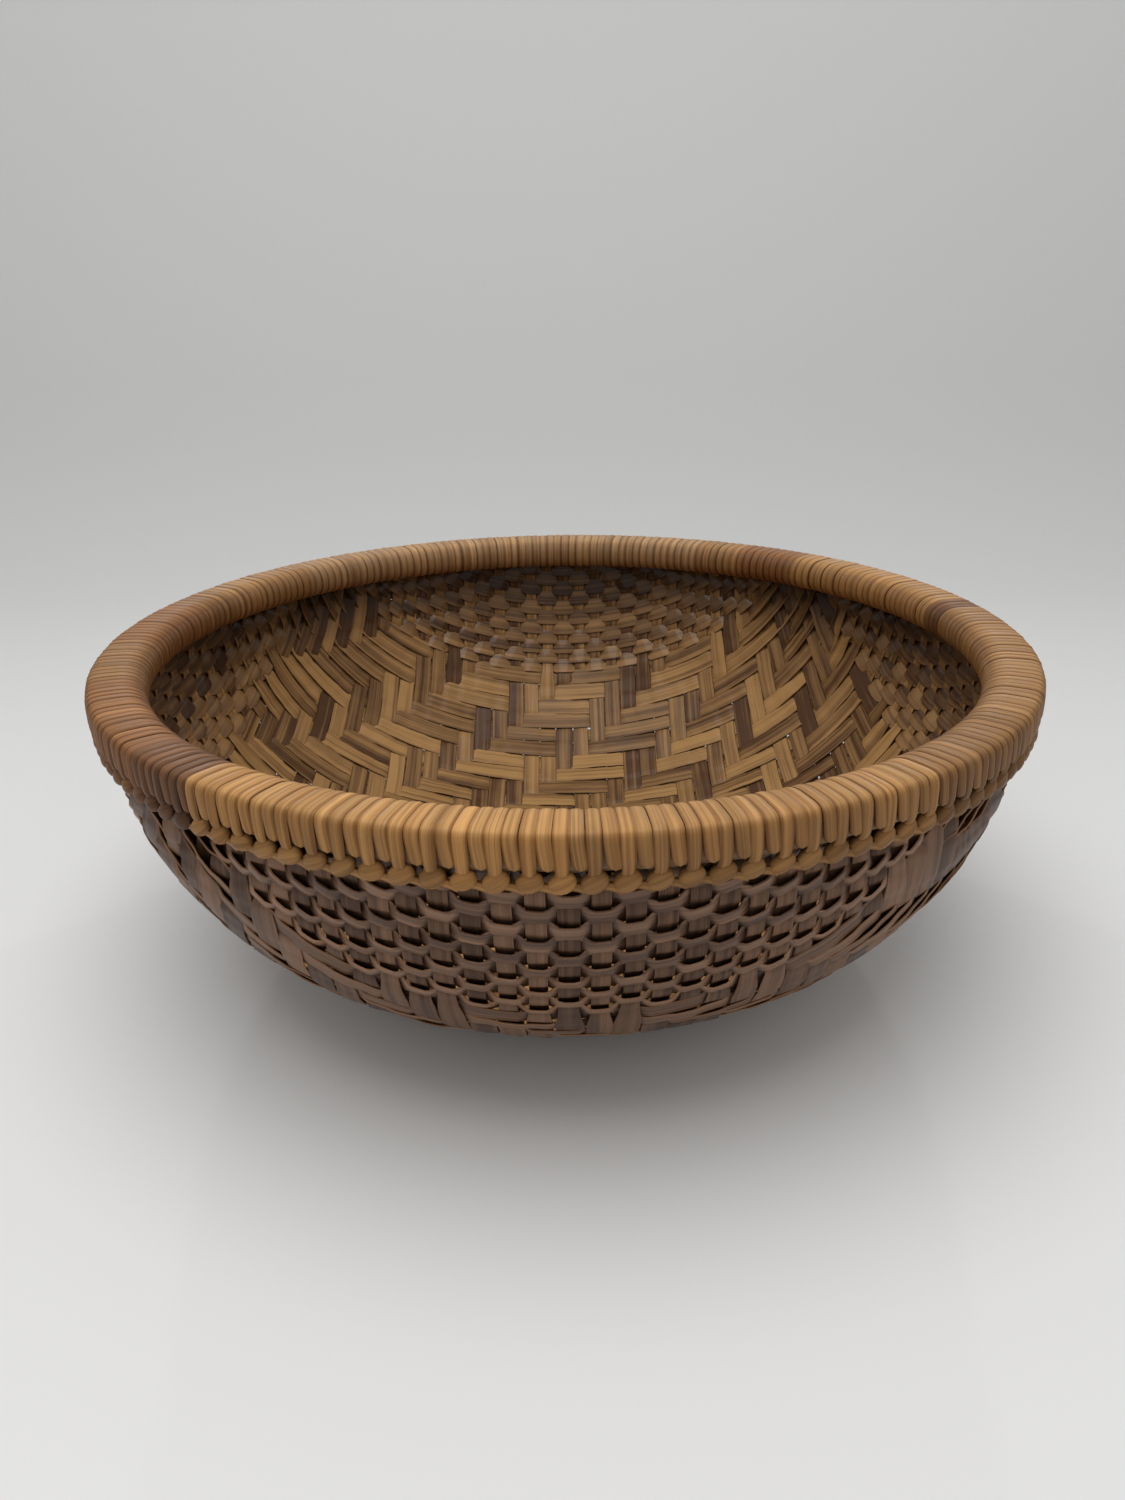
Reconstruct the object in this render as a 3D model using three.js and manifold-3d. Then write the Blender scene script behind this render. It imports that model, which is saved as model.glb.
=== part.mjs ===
// A round plaited bamboo winnowing basket, millimetres, +Z up.
// The origin is the middle of the flat base, on the surface the basket stands on.
//
// One square mat, woven from two crossing sets of splints, is dished into a bowl. Its edge is
// held between an inner and an outer bamboo hoop, which are bound together with split cane.
// A locking plait of the same cane runs round the outside, just below the binding.
import * as THREE from 'three';
import { mergeVertices } from 'three/addons/utils/BufferGeometryUtils.js';
import Module from 'manifold-3d';

const wasm = await Module();
wasm.setup();

// Driving dimensions of the bowl
const BASE_RADIUS = 47;           // flat disc that the basket rests on
const BOWL_ARCS = [               // the mat's middle surface: radius, and its slope where it ends
  { radius: 152, slope: 37 },
  { radius: 110, slope: 69 },
  { radius: 120, slope: 90 },
];
const ARC_STEPS = [3, 3, 4];
const SPLINT = 1.1;               // thickness of one set of splints
const GAP = 0.3;                  // clearance between neighbouring pieces
const MAT_TOP = 131;              // height of the mat's edge, inside the rim
const SPLINT_PITCH = 9;           // spacing of the broad splints
const BROAD_SPLINTS = 20.5;       // broad splints from the middle of the mat to a wall's weft band

// Driving dimensions of the rim
const RIM_RADIUS = 190;
const RIM_HALF_WIDTH = 11;
const RIM_HALF_HEIGHT = 8.3;
const RIM_HEIGHT = 128;           // height of the middle of the rim's section
const OUTER_TOP_SQUARENESS = 5;   // superellipse exponents of the section's corners: the outer
const OUTER_LOW_SQUARENESS = 3.5; // ones are nearly square and the inner ones well rounded
const INNER_SQUARENESS = 2.4;
const BINDING = 1;                // thickness of the cane binding
const MAT_CLEARANCE = 0.6;        // between the mat's faces and the hoops and binding beside it
const FILLER_WIDTH = 6.2;
const PLAIT_BOTTOM = 115.7;
const PLAIT_TOP = 122.6;
const PLAIT_RADIUS = 188.2;

// Where one length of binding cane ends and the next begins, degrees from +X
const CANE_JOINTS = [12, 50, 97, 140, 166, 200, 233.5, 306];

const SEGMENTS = 48;              // flats round the basket
const RIM_CENTRE = RIM_RADIUS - RIM_HALF_WIDTH;
const MAT_HALF = SPLINT + GAP / 2;
const HOOP_INSET = BINDING + 2 * GAP;   // from the rim's outline to the hoops inside it

const radians = THREE.MathUtils.degToRad;

// ---- solids ----

function toSolid(geometry) {
  geometry.deleteAttribute('normal');
  geometry.deleteAttribute('uv');
  const merged = mergeVertices(geometry, 1e-4);
  return new wasm.Manifold(new wasm.Mesh({
    numProp: 3,
    vertProperties: new Float32Array(merged.attributes.position.array),
    triVerts: new Uint32Array(merged.index.array),
  }));
}

function toGeometry(solid) {
  const { vertProperties, triVerts } = solid.getMesh();
  const geometry = new THREE.BufferGeometry();
  geometry.setAttribute('position', new THREE.BufferAttribute(vertProperties, 3));
  geometry.setIndex(new THREE.BufferAttribute(triVerts, 1));
  geometry.computeVertexNormals();
  return geometry;
}

// A closed outline in the (radius, height) half-plane, turned about +Z
function turned(outline) {
  const geometry = new THREE.LatheGeometry(outline, SEGMENTS);
  geometry.rotateX(Math.PI / 2);
  return toSolid(geometry);
}

function closed(outline) {
  return [...outline, outline[0]];
}

// ---- the mat ----

// The bowl's surface, offset outwards from the mat's middle surface, from the axis to the edge
function bowlProfile(offset) {
  const points = [new THREE.Vector2(0, MAT_HALF - offset)];
  let end = new THREE.Vector2(BASE_RADIUS, MAT_HALF);
  let slope = 0;
  points.push(new THREE.Vector2(end.x, end.y - offset));
  BOWL_ARCS.forEach((arc, index) => {
    const centre = new THREE.Vector2(end.x - arc.radius * Math.sin(slope), end.y + arc.radius * Math.cos(slope));
    const target = radians(arc.slope);
    for (let step = 1; step <= ARC_STEPS[index]; step += 1) {
      const angle = THREE.MathUtils.lerp(slope, target, step / ARC_STEPS[index]);
      const reach = arc.radius + offset;
      points.push(new THREE.Vector2(centre.x + reach * Math.sin(angle), centre.y - reach * Math.cos(angle)));
    }
    end = new THREE.Vector2(centre.x + arc.radius * Math.sin(target), centre.y - arc.radius * Math.cos(target));
    slope = target;
  });
  points.push(new THREE.Vector2(end.x + offset, MAT_TOP));
  return points;
}

// Radius of the mat's middle surface at its edge
const MAT_EDGE_RADIUS = bowlProfile(0).at(-1).x;

// Radius and height of the middle surface where a wall's weft band begins, by length along it
function bandStart() {
  const length = BROAD_SPLINTS * SPLINT_PITCH;
  const profile = bowlProfile(0);
  let walked = 0;
  for (let i = 1; i < profile.length; i += 1) {
    const stretch = profile[i].distanceTo(profile[i - 1]);
    if (walked + stretch >= length) {
      return profile[i - 1].clone().lerp(profile[i], (length - walked) / stretch);
    }
    walked += stretch;
  }
  return profile.at(-1);
}

function matShell(outer, inner) {
  return turned([...bowlProfile(outer), ...bowlProfile(inner).reverse()]);
}

// The space outside a slanting plane that cuts one wall off the bowl. The plane meets the wall
// at bandStart in its middle and reaches the mat's edge on the bowl's diagonals.
function wallSpace(azimuth, clearance) {
  const low = bandStart();
  const corner = MAT_EDGE_RADIUS * Math.SQRT1_2;
  const tilt = Math.atan2(MAT_TOP - low.y, low.x - corner);
  const depth = RIM_RADIUS;
  const slab = new THREE.BoxGeometry(3 * RIM_RADIUS, 3 * RIM_RADIUS, depth);
  slab.translate(0, 0, depth / 2 + clearance);
  slab.rotateY(tilt);
  slab.translate(low.x, 0, low.y);
  slab.rotateZ(radians(azimuth));
  return toSolid(slab);
}

function mainSplints(shell, azimuths) {
  return azimuths.reduce((solid, azimuth) => solid.subtract(wallSpace(azimuth, -GAP / 2)), shell);
}

function wallWefts(shell, azimuth) {
  return shell.intersect(wallSpace(azimuth, GAP / 2));
}

// ---- the rim ----

// Exponent of the section's corner on the given side of its middle
function squareness(across, up) {
  if (across < 0) return INNER_SQUARENESS;
  return up < 0 ? OUTER_LOW_SQUARENESS : OUTER_TOP_SQUARENESS;
}

// Height of the rim's outline, inset by the given thickness, at a radius; up is 1 or -1
function sectionHeight(radius, inset, up) {
  const across = (radius - RIM_CENTRE) / (RIM_HALF_WIDTH - inset);
  const power = squareness(across, up);
  return RIM_HEIGHT + up * (RIM_HALF_HEIGHT - inset) * (1 - Math.abs(across) ** power) ** (1 / power);
}

// A hoop that fills the binding between two radii, no lower than the given height
function hoop(fromRadius, toRadius, lowest = 0) {
  const steps = 3;
  const upper = [];
  const lower = [];
  for (let step = 0; step <= steps; step += 1) {
    const radius = THREE.MathUtils.lerp(fromRadius, toRadius, step / steps);
    upper.unshift(new THREE.Vector2(radius, sectionHeight(radius, HOOP_INSET, 1)));
    lower.push(new THREE.Vector2(radius, Math.max(lowest, sectionHeight(radius, HOOP_INSET, -1))));
  }
  return turned(closed([...lower, ...upper]));
}

// Part of the rim's outline, from the top of the plait, up the outer face and over the top, to
// the inner edge of the slot for the mat
function bindingOutline(inset, steps) {
  const width = RIM_HALF_WIDTH - inset;
  const height = RIM_HALF_HEIGHT - inset;
  const plaitDrop = (RIM_HEIGHT - PLAIT_TOP - GAP) / height;
  const slotReach = (MAT_EDGE_RADIUS - MAT_HALF - MAT_CLEARANCE - RIM_CENTRE) / width;
  const from = -Math.asin(plaitDrop ** (OUTER_LOW_SQUARENESS / 2));
  const to = 2 * Math.PI - Math.acos(slotReach ** (OUTER_LOW_SQUARENESS / 2));
  const points = [];
  for (let step = 0; step <= steps; step += 1) {
    const angle = THREE.MathUtils.lerp(from, to, step / steps);
    const across = Math.cos(angle);
    const up = Math.sin(angle);
    const power = 2 / squareness(across, up);
    points.push(new THREE.Vector2(
      RIM_CENTRE + width * Math.sign(across) * Math.abs(across) ** power,
      RIM_HEIGHT + height * Math.sign(up) * Math.abs(up) ** power,
    ));
  }
  return points;
}

function bindingRing() {
  return turned(closed([...bindingOutline(0, 16), ...bindingOutline(BINDING, 14).reverse()]));
}

function plaitRing() {
  const wall = (height) => {
    const lastArc = BOWL_ARCS.at(-1);
    const reach = lastArc.radius + MAT_HALF + GAP;
    const centreHeight = bowlProfile(0).at(-2).y;
    return MAT_EDGE_RADIUS - lastArc.radius + Math.sqrt(reach ** 2 - (height - centreHeight) ** 2);
  };
  const middle = (PLAIT_BOTTOM + PLAIT_TOP) / 2;
  const round = 1.2;
  return turned(closed([
    new THREE.Vector2(wall(PLAIT_BOTTOM), PLAIT_BOTTOM),
    new THREE.Vector2(PLAIT_RADIUS - round, PLAIT_BOTTOM),
    new THREE.Vector2(PLAIT_RADIUS, PLAIT_BOTTOM + round),
    new THREE.Vector2(PLAIT_RADIUS, PLAIT_TOP - round),
    new THREE.Vector2(PLAIT_RADIUS - round / 2, PLAIT_TOP),
    new THREE.Vector2(wall(PLAIT_TOP), PLAIT_TOP),
    new THREE.Vector2(wall(middle) + GAP / 2, middle),
  ]));
}

// The wedge between two angles, less half the gap at each end
function wedge(fromDegrees, toDegrees) {
  const trim = GAP / 2 / (RIM_RADIUS - 2 * RIM_HALF_WIDTH);
  const from = radians(fromDegrees) + trim;
  const to = radians(toDegrees) - trim;
  const reach = 2 * RIM_RADIUS;
  const outline = new THREE.Shape([
    new THREE.Vector2(0, 0),
    new THREE.Vector2(reach * Math.cos(from), reach * Math.sin(from)),
    new THREE.Vector2(reach * Math.cos(to), reach * Math.sin(to)),
  ]);
  return toSolid(new THREE.ExtrudeGeometry(outline, { depth: reach, bevelEnabled: false }));
}

// A ring cut into the lengths between the cane joints
function caneLengths(ring) {
  return CANE_JOINTS.map((joint, index) => {
    const next = CANE_JOINTS[index + 1] ?? CANE_JOINTS[0] + 360;
    return ring.intersect(wedge(joint, next));
  });
}

// ---- the basket ----

const finishes = {
  mat: { color: 0x6f5a48, roughness: 0.55 },
  wefts: { color: 0x655243, roughness: 0.55 },
  hoop: { color: 0xa9824f, roughness: 0.6 },
  lightCane: { color: 0xb88a58, roughness: 0.5 },
  darkCane: { color: 0x7a5438, roughness: 0.5 },
};

const basket = new THREE.Group();
basket.name = 'winnowing_basket';

function add(name, solid, finish) {
  const material = new THREE.MeshStandardMaterial({ ...finishes[finish], metalness: 0 });
  const mesh = new THREE.Mesh(toGeometry(solid), material);
  mesh.name = name;
  basket.add(mesh);
}

const outerLayer = matShell(MAT_HALF, GAP / 2);
const innerLayer = matShell(-GAP / 2, -MAT_HALF);
add('front_to_back_splints', mainSplints(outerLayer, [0, 180]), 'mat');
add('side_to_side_splints', mainSplints(innerLayer, [90, 270]), 'mat');
add('right_wall_wefts', wallWefts(outerLayer, 0), 'wefts');
add('left_wall_wefts', wallWefts(outerLayer, 180), 'wefts');
add('back_wall_wefts', wallWefts(innerLayer, 90), 'wefts');
add('front_wall_wefts', wallWefts(innerLayer, 270), 'wefts');

const boundInside = RIM_RADIUS - 2 * RIM_HALF_WIDTH + HOOP_INSET;
const boundOutside = RIM_RADIUS - HOOP_INSET;
add('rim_filler', hoop(boundInside + GAP, boundInside + FILLER_WIDTH), 'hoop');
add('inner_hoop', hoop(boundInside + FILLER_WIDTH + GAP, MAT_EDGE_RADIUS - MAT_HALF - MAT_CLEARANCE), 'hoop');
add('outer_hoop', hoop(MAT_EDGE_RADIUS + MAT_HALF + MAT_CLEARANCE, boundOutside - GAP, PLAIT_TOP + GAP), 'hoop');

caneLengths(bindingRing()).forEach((solid, index) => {
  add(`rim_binding_${index + 1}`, solid, index === 5 ? 'darkCane' : 'lightCane');
});
caneLengths(plaitRing()).forEach((solid, index) => {
  add(`edge_plait_${index + 1}`, solid, index === 5 ? 'darkCane' : 'lightCane');
});

export default basket;
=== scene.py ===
"""Looks of a plaited bamboo winnowing basket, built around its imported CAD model.

One square mat is woven from two crossing sets of splints and dished into a bowl. The splints lie
along the lines of a net that is draped over the bowl's surface without stretching, as a real mat
is. The rim is wrapped in split cane, and a row of cane beads locks the wraps just below it.
Shapes are worked out in millimetres, as in the CAD, and become metres when a mesh is made.
"""

import math
from collections import namedtuple

import bpy
import numpy as np
from mathutils import Matrix, Vector


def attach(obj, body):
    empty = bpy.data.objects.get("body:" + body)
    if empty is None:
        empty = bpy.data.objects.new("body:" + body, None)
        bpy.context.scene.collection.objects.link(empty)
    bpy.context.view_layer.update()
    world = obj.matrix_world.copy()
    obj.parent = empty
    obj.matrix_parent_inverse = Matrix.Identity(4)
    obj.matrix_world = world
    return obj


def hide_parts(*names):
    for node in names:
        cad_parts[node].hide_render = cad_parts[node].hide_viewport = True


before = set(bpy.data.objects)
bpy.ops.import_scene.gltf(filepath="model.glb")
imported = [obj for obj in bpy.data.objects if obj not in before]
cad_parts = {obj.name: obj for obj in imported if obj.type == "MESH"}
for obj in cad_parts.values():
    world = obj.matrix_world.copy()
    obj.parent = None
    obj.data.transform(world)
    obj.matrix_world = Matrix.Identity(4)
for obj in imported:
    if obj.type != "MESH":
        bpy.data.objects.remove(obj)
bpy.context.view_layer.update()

MM = 0.001                  # metres
random = np.random.default_rng(7)

# Bowl, as in the CAD: the mat's middle surface is a flat disc and three arcs
BASE_RADIUS = 47.0
BOWL_ARCS = ((152.0, 37.0), (110.0, 69.0), (120.0, 90.0))  # radius, slope where the arc ends
MIDDLE_HEIGHT = 1.25
SPLINT_TOP = 127.0          # where the splints end, inside the rim

# Rim, as in the CAD: four quarters of superellipses
RIM_RADIUS = 190.0
RIM_HALF_WIDTH = 11.0
RIM_HALF_HEIGHT = 8.3
RIM_HEIGHT = 128.0
OUTER_TOP_SQUARENESS = 5.0
OUTER_LOW_SQUARENESS = 3.5
INNER_SQUARENESS = 2.4
OUTLINE_START = -78         # degrees round the rim's section: its lower outer side
OUTLINE_END = 258           # over the top to below the inner hoop
OUTLINE_POINTS = 400
CANE_JOINTS = (12.0, 50.0, 97.0, 140.0, 166.0, 200.0, 233.5, 306.0)  # degrees from +X

# Weave
BROAD_PITCH = 9.46          # spacing of the broad splints
BROAD_EACH_SIDE = 19        # broad splints on each side of the middle one
GROUPS = 6                  # pieces that each set of broad splints is divided into
TWILL_REPEAT = 6            # over three, under three
SLIP_CHANCE = 0.4           # how often a side-to-side splint passes over a fourth one
WEFT_PITCH = 5.8            # spacing of the narrow splints woven across each wall
WEFTS_PER_WALL = 12
BAND_START = (BROAD_EACH_SIDE + 0.5) * BROAD_PITCH  # from the mat's middle to a wall's first weft
WALL_WIDTH = 6.2            # the broad splints are shaved narrower where the wefts cross them
SHAVING_LEAD = 12.0         # the shaving begins this far before the wefts
SHAVING_LENGTH = 16.0
STEP = 1.5                  # spacing of the points along a splint
LOWEST = 0.05               # no splint goes below the surface the basket stands on

# Relief of the weave: how far a splint rises and falls from the mat's middle surface
TWILL_HEIGHT = 0.5
ARCH = 1.9                  # how much higher the middle of a float stands than its ends
SHEAR_RELIEF = 0.9          # share that is added to the relief where the net is fully sheared
UPRIGHT_HEIGHT = 0.5        # broad splints where the wefts cross them
WEFT_HEIGHT = 0.95
WEFT_SAG = 0.24             # share of a weft's width that its upper edge drops where it lies outside
WEFT_HANG = 0.3             # and that its lower edge hangs elsewhere, which closes the gap below it
HANG_START = 1.2            # the hang is none at minus this many WEFT_HEIGHTs, and full one further in

# Level half of each crossing, as a share of the spacing or the width of what is crossed
BROAD_LEVEL = 0.25
UPRIGHT_LEVEL = 0.3
WEFT_LEVEL = 0.18

# Lean of the splints, like tiles: the edge higher up or further from the middle lies further out
WEFT_TILT = math.radians(9)
OUTSIDE_TILT = 0.8          # share that is added to a weft's tilt where it lies outside
SIDE_TO_SIDE_TILT = math.radians(3.5)  # all along the side-to-side splints
SCALE_TILT = math.radians(52)          # of the broad splints where the net is fully sheared
SHEAR_START = 0.97          # spacing of the net's lines where it begins to count as sheared: 1 is square
SHEAR_RANGE = 0.35          # and how much closer they are where it counts as fully sheared

# Waves along a splint: size in millimetres or radians, and wavelength
HEIGHT_WAVE = (0.06, 40)
TWIST_WAVE = (0.04, 70)
WIDTH_WAVELENGTH = 60
STRAY_WAVELENGTH = 90

# What differs between the sets of splints: spacing, width on the base and on the walls, thickness,
# how uneven and how wavy the width is, the share of the room that half a splint may take, how far
# it strays sideways, how light it is (0 to 1) and how much that varies
Kind = namedtuple("Kind", "pitch width wall_width thickness uneven wavy share stray light varied")
FRONT_TO_BACK = Kind(BROAD_PITCH, 9.0, WALL_WIDTH, 0.8, 0.05, 0.03, 0.62, 0.3, 0.40, 0.24)
SIDE_TO_SIDE = Kind(BROAD_PITCH, 9.9, WALL_WIDTH, 0.8, 0.05, 0.03, 0.62, 0.1, 0.58, 0.24)
WEFT = Kind(WEFT_PITCH, 6.8, 6.8, 0.9, 0.01, 0.01, 0.57, 0.1, 0.8, 0.14)
WEFT_DARKENING = 0.1        # from one weft to the next one up
DARKENING_ROWS = 4          # after which they stay the same

# Binding
WRAPS = 262
WRAP_PITCH = 360.0 / WRAPS  # degrees
WRAP_THICKNESS = 1.35
WRAP_STEPS = 44             # sections along a wrap
WRAP_OVER = np.array([-1.0, -0.75, -0.4, 0.0, 0.4, 0.75, 1.0])  # points across its outer face
WRAP_UNDER = np.array([0.95, 0.0, -0.95])                       # and across its underside
CROWN = 0.6                 # height of a wrap's crown at the rim's inner side
CROWN_ON_SIDE = 0.35        # added on the rim's outer side
CROWN_ON_TOP = -0.25        # and on its top
CROWN_POWER = 2.3
FACE_BLEND = 2.5            # length over which the rim's outer side and its top begin and end
TOP_START = 5.5             # the top begins this far above the rim's middle
LEAN_START = 7.0            # the wraps lean aside from this far above the rim's middle
LEAN_RANGE = 14.0
NARROW_RANGE = 7.0          # long wraps narrow over this length below the rim's middle
WRAP_SLANT = (0.03, 0.006)  # sideways per millimetre inwards, and its spread
WRAP_WIDTH = (0.995, 0.012)  # share of the pitch, and its spread
WRAP_RISE = (-0.1, 0.07)    # out of the rim's outline, and its spread

# Short and long wraps take turns: height of the lower end, how far it leans aside, how long its
# rounding is, and how much it narrows
Wrap = namedtuple("Wrap", "bottom lean rounding narrowing")
SHORT_WRAP = Wrap(123.6, 1.5, 2.2, 0.0)
LONG_WRAP = Wrap(121.0, 0.5, 0.6, 0.22)

# Plait: a bead at the foot of each long wrap, and a tail that runs on below the next hole
BEAD_HEIGHT = 119.7         # middle of a bead
BEAD_RADIUS = 187.1
BEAD_OFFSET = 0.4           # sideways from its wrap
BEAD_SLANT = (66, 6)        # degrees from upright, and its spread, as in the half sizes that follow
BEAD_LENGTH = (4.2, 0.2)
BEAD_WIDTH = (3.3, 0.15)
BEAD_DEPTH = (2.5, 0.12)
BEAD_RINGS = 9
BEAD_ROUND = 14
BEAD_SHADE = np.array([0.86, 0.86, 0.86, 1.0])  # the beads are darker than the wraps
TAIL_STEPS = 9
TAIL_START = 1.0            # from the middle of its bead
TAIL_LENGTH = 8.6
TAIL_HEIGHT = 117.4
TAIL_ARCH = 0.7
TAIL_RISE = 0.6             # from its start to its end
TAIL_PROUD = 0.4            # how far it starts outside the beads' middles
TAIL_HALF_WIDTH = 1.35
TAIL_TAPER = 0.35
TAIL_HALF_THICKNESS = 0.9

# Linear colours of the cane round the rim: each zone begins at its azimuth, degrees from +X
CANE_COLOURS = {
    "honey": (0.57, 0.31, 0.115),
    "light_honey": (0.66, 0.36, 0.130),
    # pale is a painted reflection: the back of the rim is lighter and greyer where it catches light from
    # behind
    "pale": (0.56, 0.34, 0.17),
    "tan": (0.48, 0.262, 0.105),
    "brown": (0.39, 0.205, 0.078),
    "russet": (0.38, 0.175, 0.064),
    "dark": (0.27, 0.125, 0.052),
}
CANE_ZONES = (
    (12, "honey"), (45, "russet"), (55, "tan"), (64, "pale"), (140, "tan"), (157, "brown"),
    (166, "russet"), (184, "brown"), (200, "russet"), (222, "dark"), (233.5, "light_honey"),
    (270, "honey"), (306, "brown"), (325, "tan"), (368, "dark"), (372, "honey"),
)
CANE_VARIATION = 0.06       # of the brightness from one wrap to the next
DARK_VARIATION = 0.16
RUDDY_VARIATION = 0.015
DARK_LENGTH = 5             # place in CANE_JOINTS of the length of dark cane

# Camera: a wide phone-like lens close in front of the basket, in metres
CAMERA_PLACE = (-0.00125, -0.4435, 0.2685)
CAMERA_LENS = 25.97         # millimetres
SENSOR_WIDTH = 36
PITCH_DOWN = math.radians(23.13)
ROLL = -0.0115              # radians


# ---- the bowl's surface ----

def bowl_arcs():
    """For each arc: length along the profile where it starts, start slope, radius, centre."""
    radius, height, length, slope = BASE_RADIUS, MIDDLE_HEIGHT, BASE_RADIUS, 0.0
    arcs = []
    for bend, end_degrees in BOWL_ARCS:
        end = math.radians(end_degrees)
        centre = (radius - bend * math.sin(slope), height + bend * math.cos(slope))
        arcs.append((length, slope, bend, centre))
        radius = centre[0] + bend * math.sin(end)
        height = centre[1] - bend * math.cos(end)
        length += bend * (end - slope)
        slope = end
    return arcs, radius, height, length


ARCS, EDGE_RADIUS, EDGE_HEIGHT, EDGE_LENGTH = bowl_arcs()


def profile(length):
    """Radius and height of the middle surface at a length along its profile."""
    radius = length.copy()
    height = np.full_like(length, MIDDLE_HEIGHT)
    for start, slope, bend, centre in ARCS:
        angle = slope + (length - start) / bend
        beyond = length > start
        radius = np.where(beyond, centre[0] + bend * np.sin(angle), radius)
        height = np.where(beyond, centre[1] - bend * np.cos(angle), height)
    beyond = length > EDGE_LENGTH
    return (np.where(beyond, EDGE_RADIUS, radius),
            np.where(beyond, EDGE_HEIGHT + length - EDGE_LENGTH, height))


def surface(points):
    """Distance inside the middle surface, and the unit normal that points into the bowl."""
    radius = np.hypot(points[..., 0], points[..., 1])
    height = points[..., 2]
    inside = height - MIDDLE_HEIGHT
    across = np.zeros_like(radius)
    up = np.ones_like(radius)
    for _, slope, bend, centre in ARCS:
        beyond = np.arctan2(radius - centre[0], centre[1] - height) > slope
        reach = np.hypot(radius - centre[0], height - centre[1])
        inside = np.where(beyond, bend - reach, inside)
        across = np.where(beyond, (centre[0] - radius) / reach, across)
        up = np.where(beyond, (centre[1] - height) / reach, up)
    above = height > EDGE_HEIGHT
    inside = np.where(above, EDGE_RADIUS - radius, inside)
    across = np.where(above, -1.0, across)
    up = np.where(above, 0.0, up)
    round_axis = across / np.maximum(radius, 1e-9)
    normal = np.stack([round_axis * points[..., 0], round_axis * points[..., 1], up], -1)
    return inside, normal


# ---- the draped net ----

NET_MESH = 3.0              # from one knot to the next
NET_REACH = 264.0           # from the mat's middle to the last knots, beyond the rim
SWING_ROUNDS = 6            # Newton steps that bring a knot on to the surface


def unit(vectors):
    return vectors / np.linalg.norm(vectors, axis=-1, keepdims=True)


def dot(a, b):
    return (a * b).sum(-1, keepdims=True)


def drape():
    """A quarter of the net: every knot is NET_MESH from its neighbours in both directions.

    The two middle lines run straight down the bowl. Each other knot follows from three
    neighbours, as the fourth corner of a rhombus that is swung on to the surface.
    """
    count = int(NET_REACH / NET_MESH) + 1
    knots = np.full((count + 1, count + 1, 3), np.nan)
    radius, height = profile(np.arange(count + 1) * NET_MESH)
    level = np.zeros_like(radius)
    knots[:, 0] = np.stack([radius, level, height], -1)
    knots[0, :] = np.stack([level, radius, height], -1)
    for diagonal in range(2, 2 * count + 1):
        i = np.arange(max(1, diagonal - count), min(count, diagonal - 1) + 1)
        j = diagonal - i
        left, right, back = knots[i - 1, j], knots[i, j - 1], knots[i - 1, j - 1]
        middle = (left + right) / 2
        half = np.linalg.norm(right - left, axis=-1) / 2
        reach = np.sqrt(np.where(half < NET_MESH, NET_MESH ** 2 - half ** 2, np.nan))[:, None]
        span = unit(right - left)
        normal = surface(middle)[1]
        ahead = middle - back
        ahead = unit(ahead - dot(ahead, span) * span - dot(ahead, normal) * normal)
        normal = unit(normal - dot(normal, span) * span)
        swing = np.zeros((len(i), 1))
        for _ in range(SWING_ROUNDS):
            corner = middle + reach * (np.cos(swing) * ahead + np.sin(swing) * normal)
            swing = swing - surface(corner)[0][:, None] / reach
        knots[i, j] = middle + reach * (np.cos(swing) * ahead + np.sin(swing) * normal)
    return knots


NET = drape()


def net_point(u, v):
    """The point of the middle surface at mat coordinates u (along +X) and v (along +Y)."""
    a, b = np.abs(u) / NET_MESH, np.abs(v) / NET_MESH
    i = np.minimum(a.astype(int), NET.shape[0] - 2)
    j = np.minimum(b.astype(int), NET.shape[1] - 2)
    a, b = (a - i)[..., None], (b - j)[..., None]
    near = NET[i, j] * (1 - b) + NET[i, j + 1] * b
    far = NET[i + 1, j] * (1 - b) + NET[i + 1, j + 1] * b
    signs = np.stack([np.where(u < 0, -1, 1), np.where(v < 0, -1, 1), np.ones_like(u)], -1)
    return (near * (1 - a) + far * a) * signs


# ---- meshes ----

def rounded_section(flatness):
    """Closed outline of a strip's section: half widths and half thicknesses, inside face first."""
    across = np.array([-0.96, -0.6, 0.0, 0.6, 0.96])
    up = 1 - (1 - flatness) * np.abs(across) ** 3
    top = np.column_stack([across, up])
    bottom = np.column_stack([across[::-1], -up[::-1]])
    return np.vstack([top, [[1.0, 0.0]], bottom, [[-1.0, 0.0]]])


SPLINT_SECTION = rounded_section(0.72)


def tube_faces(count, around):
    """Quads of a closed tube: count rings of points, with the two end rings filled in."""
    ring = np.arange(around)
    following = (ring + 1) % around
    start = np.arange(count - 1)[:, None] * around
    walls = np.stack([start + ring, start + following, start + around + following,
                      start + around + ring], -1).reshape(-1, 4)
    half = np.arange(around // 2 - 1)
    cap = np.stack([half, half + 1, around - 2 - half, around - 1 - half], -1)
    end = cap[:, ::-1] + (count - 1) * around
    return np.vstack([walls[:, ::-1], cap, end])


def sweep(centres, sides, ups, section):
    """A closed strip: the section at every centre, with sides and ups as its half sizes."""
    count = len(centres)
    if section.ndim == 2:
        section = np.repeat(section[None], count, axis=0)
    points = (centres[:, None] + section[..., :1] * sides[:, None]
              + section[..., 1:] * ups[:, None])
    return points.reshape(-1, 3), tube_faces(count, section.shape[1])


def scatter(along, across):
    """Both lengths along and across a strip, shifted so that no two strips share their fibres."""
    return along + random.uniform(0, 9000), across + random.uniform(0, 900)


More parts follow.
